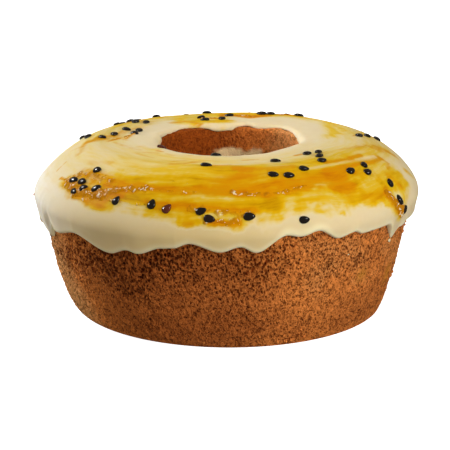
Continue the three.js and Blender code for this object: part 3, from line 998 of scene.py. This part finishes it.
CRUMBS = [  # azimuth, height above the base, size in mm
    (-81, 60.5, 1.3), (-86.5, 47.5, 1.2), (-80, 45.5, 1.0), (83, 47, 1.5), (88.5, 45, 1.4),
    (79.5, 44, 1.2), (80, 40, 1.0), (85.5, 30, 1.0), (74, 26.5, 0.9), (22, 2.6, 2.4),
    (24.5, 4.4, 1.8), (20, 1.9, 1.8), (27, 3, 1.5), (17, 2.4, 1.6), (25, 7.5, 1.3), (19, 5.5, 1.2),
    (68, 14.5, 1.6), (69, 16.5, 1.0), (66, 12, 0.9), (71, 30, 0.9), (-28, 1.6, 1.2), (-8, 3, 1.1),
    (140, 3, 1.8), (146, 5, 1.3), (-120, 3, 1.6), (-160, 4, 1.4), (170, 20, 1.2),
]
ICING_SPOTS = [(38.5, 44.5, 1.3, 0.7), (60, 44, 2.6, 2)]  # azimuth, height, width, tallness
SPOT_THICKNESS = 0.8
SPOT_SEED = 40
LUMP_MESH = (12, 7)  # points round a ring, and rings
LUMP_ROUGHNESS = [(0.45, 0.9, 91), (0.25, 0.4, 92)]


def lump(size, seed):
    """A rough rounded lump."""
    shape = ball(*LUMP_MESH)
    rough = 1 + layers(shape + 9 * seed, LUMP_ROUGHNESS)
    return shape * rough[:, None] * size / 2


def side_place(azimuth, height):
    """A point on the sponge's bare side and the outward direction there."""
    if height > SIDE_LOW[1]:
        radius, height = crown_at(reach_at_height(height), 0)
    else:
        radii, heights = foot_rows(np.array([[azimuth]], float), 60)
        radius = np.interp(height, heights[0], radii[0])
    angle = math.radians(azimuth)
    point = ring_point(azimuth, radius, height)
    return point, np.array([math.sin(angle), -math.cos(angle), 0])


def make_crumbs(material):
    shapes = []
    for index, (azimuth, height, size) in enumerate(CRUMBS):
        point, outwards = side_place(azimuth, height)
        if height > hem_at(OUTER_HEM, azimuth):
            point = point + (ICING_THICKNESS - 0.05) * outwards
        placed = lump(size, index) + point + 0.15 * size * outwards
        placed[:, 2] = np.maximum(placed[:, 2], 0.02)
        shapes.append(placed)
    piece = join_shapes("crumbs", shapes, ball_faces(*LUMP_MESH))
    finish_piece(piece, "sponge_crust", material)


def make_icing_spots(material):
    shapes = []
    for index, (azimuth, height, width, tall) in enumerate(ICING_SPOTS):
        point, outwards = side_place(azimuth, height)
        sideways = np.cross([0, 0, 1], outwards)
        axes = np.array([width * sideways, SPOT_THICKNESS * outwards, [0, 0, tall]])
        shapes.append(lump(1, SPOT_SEED + index) @ axes + point)
    piece = join_shapes("icing_spots", shapes, ball_faces(*LUMP_MESH))
    finish_piece(piece, "cream_icing", material)


# ---- Materials

def colour(red, green, blue):
    """A linear colour from screen values of 0 to 255."""
    def linear(value):
        share = value / 255
        return share / 12.92 if share <= 0.04045 else ((share + 0.055) / 1.055) ** 2.4

    return (linear(red), linear(green), linear(blue), 1.0)


class Graph:
    """Adds nodes to a new material and wires them."""

    def __init__(self, name):
        self.material = bpy.data.materials.new(name)
        self.material.use_nodes = True
        self.tree = self.material.node_tree
        self.shader = self.tree.nodes["Principled BSDF"]

    def add(self, kind, settings, inputs, output=0):
        """A new node's output, with the node's settings and the values or outputs put into it."""
        node = self.tree.nodes.new("ShaderNode" + kind)
        for label, value in settings.items():
            setattr(node, label, value)
        self.fill(node, inputs)
        return node.outputs[output]

    def fill(self, node, inputs):
        for label, value in inputs.items():
            if isinstance(value, bpy.types.NodeSocket):
                self.tree.links.new(value, node.inputs[label])
            else:
                node.inputs[label].default_value = value

    def attribute(self, label, output="Fac"):
        return self.add("Attribute", {"attribute_name": label}, {}, output)

    def vector_math(self, operation, inputs):
        return self.add("VectorMath", {"operation": operation}, inputs)

    def place(self):
        """Position in millimetres."""
        position = self.add("TexCoord", {}, {}, "Object")
        return self.vector_math("SCALE", {0: position, "Scale": 1 / MM})

    def noise(self, place, size, detail=2.0, roughness=0.5, distortion=0.0):
        return self.add("TexNoise", {}, {
            "Vector": place, "Scale": 1 / size, "Detail": detail, "Roughness": roughness,
            "Distortion": distortion,
        })

    def cells(self, place, size):
        return self.add("TexVoronoi", {}, {"Vector": place, "Scale": 1 / size})

    def math(self, operation, first, second):
        return self.add("Math", {"operation": operation}, {0: first, 1: second})

    def times(self, first, second):
        return self.math("MULTIPLY", first, second)

    def plus(self, first, second):
        return self.math("ADD", first, second)

    def between(self, value, low, high, to_low=0.0, to_high=1.0):
        """A value from low to high, eased to another range."""
        inputs = {0: value, 1: low, 2: high, 3: to_low, 4: to_high}
        return self.add("MapRange", {"interpolation_type": "SMOOTHSTEP"}, inputs)

    def mix(self, share, first, second, blend="MIX"):
        settings = {"data_type": "RGBA", "blend_type": blend}
        return self.add("Mix", settings, {0: share, 6: first, 7: second}, 2)

    def tinted(self, base, tint):
        return self.mix(1.0, base, tint, "MULTIPLY")

    def ramp(self, value, stops):
        output = self.add("ValToRGB", {}, {0: value})
        elements = output.node.color_ramp.elements
        while len(elements) < len(stops):
            elements.new(0.5)
        for element, (position, *screen) in zip(elements, stops):
            element.position = position
            element.color = colour(*screen)
        return output

    def relief(self, height, distance, strength, below=None):
        inputs = {"Height": height, "Distance": distance * MM, "Strength": strength}
        if below is not None:
            inputs["Normal"] = below
        return self.add("Bump", {}, inputs)

    def finished(self, inputs):
        self.fill(self.shader, inputs)
        return self.material


# Screen colours of painted shade: tints that darken fine pores, deep pores and the poorly lit part of
# the hole
PAINTED_SHADE_TINTS = [(150, 118, 98), (172, 140, 118), (218, 190, 140)]
# Screen colours of painted light on the icing: where it is warm, a painted warm shade; where it is
# milky, a painted rim sheen; at its lip, a painted light from below
PAINTED_ICING_LIGHT = {"warm": (228, 204, 146), "painted_rim_sheen": (244, 234, 212), "lip": (252, 242, 200)}
# Screen colours along a ramp: place on it, red, green, blue
BAKED_TONES = [(0.0, 255, 188, 116), (0.375, 255, 155, 76), (1.0, 197, 111, 52)]
GRAIN_TONES = [(0.36, 112, 94, 84), (0.45, 200, 194, 188), (0.52, 240, 237, 234), (0.6, 255, 255, 255)]
YELLOW_TONES = [
    (0.0, 236, 218, 178), (0.12, 235, 213, 158), (0.25, 234, 206, 122), (0.4, 232, 192, 54),
    (0.56, 231, 181, 14), (0.8, 219, 165, 5), (1.0, 204, 145, 4),
]
AMBER_TONES = [
    (0.0, 226, 180, 116), (0.2, 226, 168, 46), (0.35, 222, 155, 8), (0.6, 225, 149, 3),
    (0.9, 212, 126, 4),
]


def crust_material():
    graph = Graph("browned_crust")
    place = graph.place()
    coarse = graph.attribute("coarse")
    inside = graph.attribute("inside")
    drawn = graph.vector_math("MULTIPLY", {0: place, 1: CRUMB_STRETCH})
    grain = graph.noise(drawn, 1.7, 3, 0.65, 1.1)
    fine = graph.noise(place, 0.7, 2, 0.6)
    most = graph.plus(graph.times(coarse, 0.6), graph.noise(place, 9, 2))
    widest = graph.between(most, 0.3, 1.1, 0.36, 0.6)
    pore = graph.between(graph.math("DIVIDE", graph.cells(drawn, 1.3), widest), 0.3, 1.0, 1.0, 0.0)
    calm = graph.between(inside, 0.0, 1.0, 1.0, 0.6)
    tone = graph.plus(graph.times(grain, 0.7), graph.times(fine, 0.3))
    tone = graph.plus(graph.times(graph.math("SUBTRACT", tone, 0.5), calm), 0.5)
    wide = graph.noise(place, 26, 3, 0.6)
    # shade carries the darker parts, the painted paler side and the hole's painted light and shade,
    # with a wide random tone.
    shade = graph.plus(graph.attribute("bake_and_painted_light"), graph.between(wide, 0.35, 0.7, -0.06, 0.16))
    baked = graph.ramp(graph.between(shade, -0.6, 1.0), BAKED_TONES)
    base = graph.tinted(baked, graph.ramp(tone, GRAIN_TONES))
    base = graph.mix(graph.times(graph.attribute("stain"), 0.5), base, colour(204, 140, 34))
    # Painted shade: the pores and the hole's poorly lit part are tinted darker.
    pore = graph.times(graph.times(pore, graph.between(coarse, 0.0, 0.6, 0.6, 1.0)), calm)
    deep = graph.between(graph.attribute("pore"), 0.15, 0.75)
    for share, tint in zip((pore, deep, graph.attribute("painted_hole_shade")), PAINTED_SHADE_TINTS):
        base = graph.mix(share, base, graph.tinted(base, colour(*tint)))
    torn_tone = graph.mix(tone, colour(255, 204, 138), colour(255, 243, 190))
    base = graph.mix(graph.attribute("torn"), base, torn_tone)
    height = graph.math("SUBTRACT", tone, graph.times(pore, 0.5))
    return graph.finished({
        "Base Color": base,
        "Roughness": 0.85,
        "Normal": graph.relief(height, 2.6, graph.between(coarse, 0.0, 0.8, 0.85, 1.0)),
        "Specular IOR Level": 0.12,
    })


def iced_colours(graph, place):
    """The colour of icing and syrup, how wet it is, and the brush strokes' relief."""
    lanes = graph.attribute("lanes", "Vector")
    streaks = graph.times(graph.noise(lanes, 2.4), 0.6)
    streaks = graph.plus(streaks, graph.times(graph.noise(lanes, 0.9), 0.4))
    sway = graph.between(streaks, 0.3, 0.7, 0.78, 1.22)
    yellow = graph.times(graph.attribute("yellow"), sway)
    cream = graph.mix(graph.noise(place, 5, 3, 0.6), colour(238, 221, 180), colour(232, 211, 165))
    # Painted light and shade on the cream: warm shade, rim sheen and lower-edge glow.
    for label, tint in PAINTED_ICING_LIGHT.items():
        cream = graph.mix(graph.attribute(label), cream, colour(*tint))
    base = graph.mix(graph.between(yellow, 0.0, 0.1), cream, graph.ramp(yellow, YELLOW_TONES))
    amber = graph.times(graph.attribute("amber"), graph.between(sway, 0.78, 1.22, 0.88, 1.12))
    amber_tone = graph.ramp(graph.math("MAXIMUM", amber, graph.times(yellow, 0.8)), AMBER_TONES)
    base = graph.mix(graph.between(amber, 0.0, 0.4), base, amber_tone)
    wet = graph.math("MAXIMUM", yellow, amber)
    return base, wet, graph.times(sway, graph.between(wet, 0.05, 0.5))


def icing_material():
    graph = Graph("cream_icing")
    place = graph.place()
    base, wet, height = iced_colours(graph, place)
    bumped = graph.relief(graph.noise(place, 2.6, 3, 0.55), 0.06, 0.6)
    return graph.finished({
        "Base Color": base,
        "Roughness": graph.between(wet, 0.05, 0.6, 0.45, 0.38),
        "Normal": graph.relief(height, 0.16, 0.7, bumped),
        "Subsurface Weight": 0.25,
        "Subsurface Radius": (1.0, 0.7, 0.35),
        "Subsurface Scale": 2.2 * MM,
        "Specular IOR Level": 0.03,
    })


def syrup_material():
    graph = Graph("wet_syrup")
    place = graph.place()
    base, _, _ = iced_colours(graph, place)
    specks = graph.noise(place, 2.0, 2, 0.5, 0.8)
    deepening = graph.between(graph.attribute("deep"), -0.2, 0.4, 0.0, 0.9)
    deeper = graph.mix(deepening, base, colour(190, 122, 6))
    # Painted glints: pale specks on the wet syrup stand in for sparkling highlights.
    painted_glints = graph.times(graph.between(specks, 0.605, 0.635), graph.attribute("wet"))
    return graph.finished({
        "Base Color": graph.mix(painted_glints, deeper, colour(255, 246, 206)),
        "Roughness": 0.09,
        "Normal": graph.relief(specks, 0.45, 0.8),
        "Specular IOR Level": 0.1,
    })


def seed_material():
    graph = Graph("glossy_seed")
    place = graph.place()
    black = graph.mix(graph.noise(place, 1.5), colour(1, 1, 3), colour(14, 8, 10))
    brown = graph.mix(graph.noise(place, 1.6), colour(46, 16, 12), colour(116, 50, 30))
    return graph.finished({
        "Base Color": graph.mix(graph.attribute("amber"), black, brown),
        "Roughness": 0.16,
        "Normal": graph.relief(graph.cells(place, 0.5), 0.08, 0.5),
        "Specular IOR Level": 0.5,
        "Coat Weight": 0.7,
        "Coat Roughness": 0.05,
    })


def floor_material():
    graph = Graph("pale_floor")
    return graph.finished({
        "Base Color": (0.9, 0.9, 0.9, 1),
        "Roughness": 0.9,
        "Specular IOR Level": 0.0,
        "Emission Color": (1, 1, 1, 1),
        "Emission Strength": 0.9,
    })


# ---- Camera, floor and lights

CAMERA_TARGET = (-1.2, 0.0, 39.5)  # mm
CAMERA_DISTANCE = 800.0  # mm
CAMERA_ELEVATION = 15.2  # degrees
CAMERA_LENS = 122.0  # mm
CAMERA_SENSOR = 36  # mm
CAMERA_CLIP = (0.05, 20)  # metres
FLOOR_RADIUS = 6.0  # metres
FLOOR_TURNS = 96

WHITE = (1, 1, 1)
MIDDLE = (0, 0, 0.05)  # metres, where the lights point
LIGHTS = [  # name, azimuth, elevation, distance m, size m, power W, colour, only mirrored or not
    ("key", 45, 19, 1.1, 0.45, 6.3, WHITE, False),
    ("rim", -120, 12, 1.0, 0.35, 10.6, (0.78, 0.85, 1), False),
    ("front", 0, 8, 1.2, 0.6, 3.2, WHITE, False),
    ("over", -10, 60, 1.2, 0.6, 1.35, WHITE, False),
    ("back", 180, 50, 1.2, 0.6, 1.0, WHITE, False),
    ("high_left", -116, 44, 1.0, 0.2, 1.6, WHITE, False),
    ("high_back", 180, 74, 1.0, 0.2, 0.6, WHITE, False),
    ("glint_left", -104, 42, 1.0, 0.2, 2.8, WHITE, True),
    ("glint_right", 70, 40, 1.0, 0.14, 1.2, WHITE, True),
]
HOLE_LIGHT = (-34, 50, 0.9, 38.0, 3.7)  # azimuth, elevation, distance m, power W, cone in degrees
HOLE_LIGHT_BLEND = 0.6
HOLE_LIGHT_SIZE = 0.06  # metres
HOLE_TARGET = (0.018, 0.02, 0.062)  # metres
WORLD_COLOUR = (1.0, 0.83, 0.62, 1.0)
WORLD_STRENGTH = 0.18


def spot_round(azimuth, elevation, distance, target):
    """The place at a distance from a target, in metres."""
    turn, rise = math.radians(azimuth), math.radians(elevation)
    out = (math.sin(turn) * math.cos(rise), -math.cos(turn) * math.cos(rise), math.sin(rise))
    return [middle + distance * step for middle, step in zip(target, out)]


def aim(thing, target):
    direction = mathutils.Vector(target) - thing.location
    thing.rotation_euler = direction.to_track_quat("-Z", "Y").to_euler()


def make_camera():
    data = bpy.data.cameras.new("camera")
    data.lens = CAMERA_LENS
    data.sensor_width = CAMERA_SENSOR
    data.clip_start, data.clip_end = CAMERA_CLIP
    camera = add_object("camera", data)
    target = [value * MM for value in CAMERA_TARGET]
    camera.location = spot_round(0, CAMERA_ELEVATION, CAMERA_DISTANCE * MM, target)
    aim(camera, target)
    bpy.context.scene.camera = camera


def make_lights():
    for name, azimuth, elevation, distance, size, power, tint, mirrored in LIGHTS:
        data = bpy.data.lights.new(name, "AREA")
        data.shape = "DISK"
        data.size = size
        data.energy = power
        data.color = tint
        light = add_object(name, data)
        light.location = spot_round(azimuth, elevation, distance, MIDDLE)
        light.visible_glossy = mirrored
        light.visible_diffuse = not mirrored
        aim(light, MIDDLE)


def make_hole_light():
    """A soft narrow light into the hole."""
    azimuth, elevation, distance, power, cone = HOLE_LIGHT
    data = bpy.data.lights.new("hole_light", "SPOT")
    data.energy = power
    data.spot_size = math.radians(cone)
    data.spot_blend = HOLE_LIGHT_BLEND
    data.shadow_soft_size = HOLE_LIGHT_SIZE
    light = add_object("hole_light", data)
    light.location = spot_round(azimuth, elevation, distance, HOLE_TARGET)
    light.visible_glossy = False
    aim(light, HOLE_TARGET)


def make_world():
    """The warm light from all round, and the view transform."""
    world = bpy.data.worlds.new("studio")
    world.use_nodes = True
    background = world.node_tree.nodes["Background"]
    background.inputs["Color"].default_value = WORLD_COLOUR
    background.inputs["Strength"].default_value = WORLD_STRENGTH
    bpy.context.scene.world = world
    view = bpy.context.scene.view_settings
    view.view_transform = "Standard"
    view.look = "None"


def make_floor():
    angle = np.arange(FLOOR_TURNS) * 2 * np.pi / FLOOR_TURNS
    rim = np.stack([np.cos(angle), np.sin(angle), 0 * angle], -1) * FLOOR_RADIUS / MM
    points = np.concatenate([[[0, 0, 0]], rim])
    faces = [(0, turn + 1, (turn + 1) % FLOOR_TURNS + 1) for turn in range(FLOOR_TURNS)]
    floor = make_piece("floor", points, faces)
    floor.data.materials.append(floor_material())
    floor.visible_diffuse = False
    floor.visible_glossy = False


# ---- The cake

def make_cake():
    seeds = all_seeds()
    crust = crust_material()
    icing = icing_material()
    make_sponge(crust)
    make_icing(icing)
    make_film(syrup_material(), seeds)
    make_seeds(seed_material(), seeds)
    make_crumbs(crust)
    make_icing_spots(icing)


make_camera()
make_lights()
make_hole_light()
make_world()
make_floor()
make_cake()
